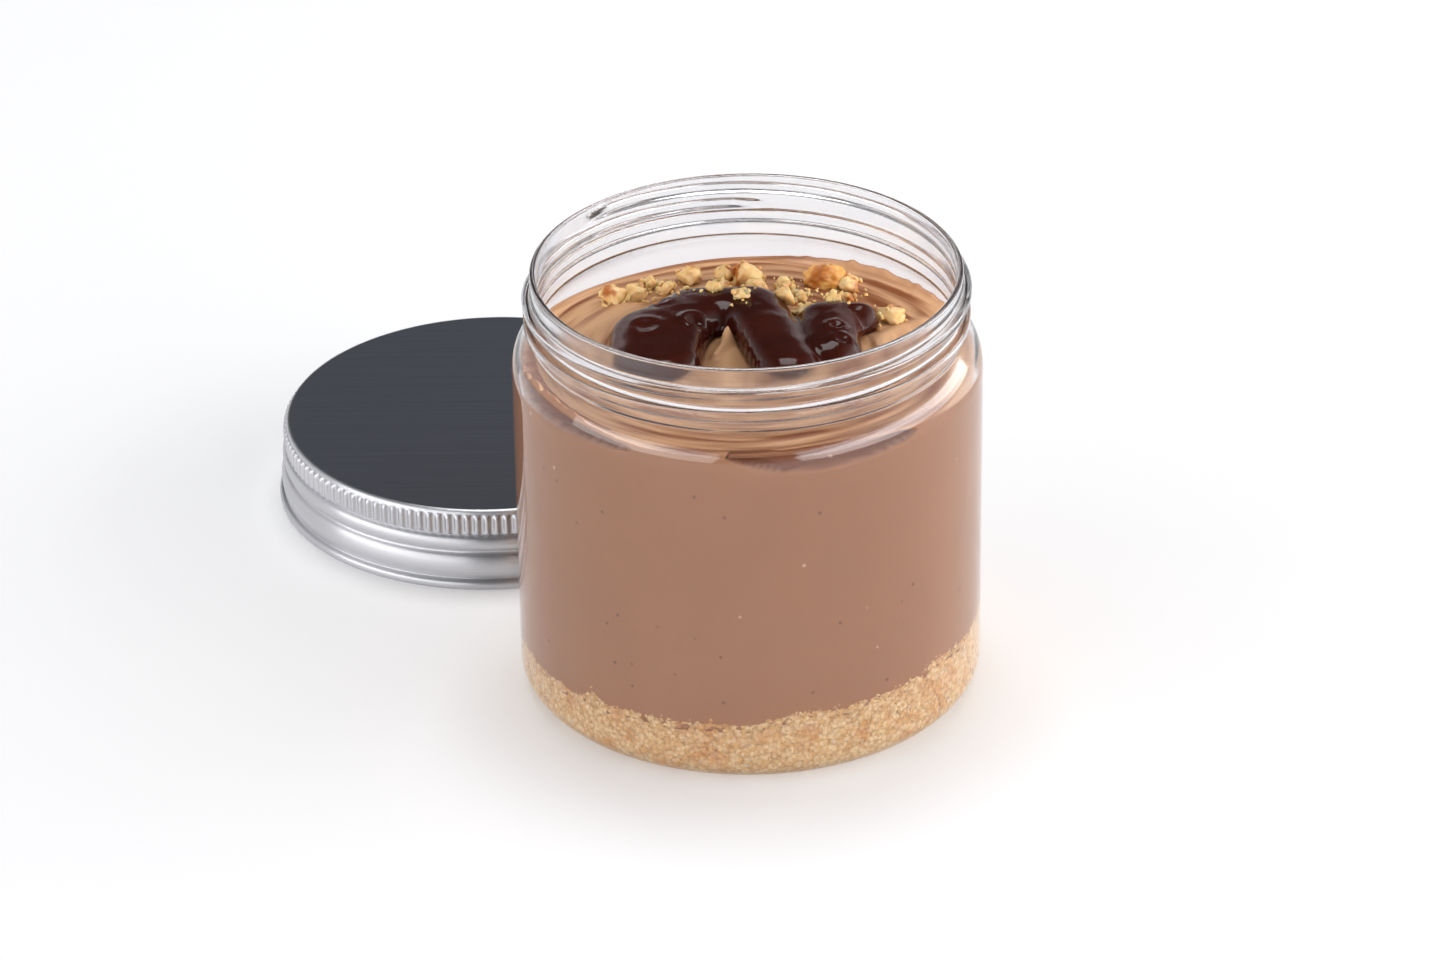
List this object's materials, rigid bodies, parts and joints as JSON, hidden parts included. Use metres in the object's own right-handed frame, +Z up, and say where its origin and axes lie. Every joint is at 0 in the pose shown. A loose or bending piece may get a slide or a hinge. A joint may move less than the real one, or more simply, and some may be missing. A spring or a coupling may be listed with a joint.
{
  "type": "cheesecake jar",
  "caption": "Clear screw-top jar of layered hazelnut cheesecake with biscuit crumbs, chocolate sauce and chopped nuts, its metal lid beside it.",
  "frame": {"origin": "middle of the jar's flat underside, on the surface that it stands on", "axes": "+Z up along the jar's axis, +Y away from the viewer, +X to the viewer's right; the lid lies at the back left"},
  "size_m": [0.1149, 0.1327, 0.0707],
  "materials": {
    "clear_plastic": "clear, polished",
    "biscuit_crumbs": "matte, crumbly",
    "hazelnut_cheesecake": "smooth, softly satin",
    "chocolate_sauce": "wet gloss",
    "aluminium": "spun, satin"
  },
  "bodies": {
    "root": {"jar": "clear_plastic", "crumb_base": "biscuit_crumbs", "cheesecake_filling": "hazelnut_cheesecake", "chocolate_sauce": "chocolate_sauce", "lid": "aluminium"}
  },
  "joints": []
}
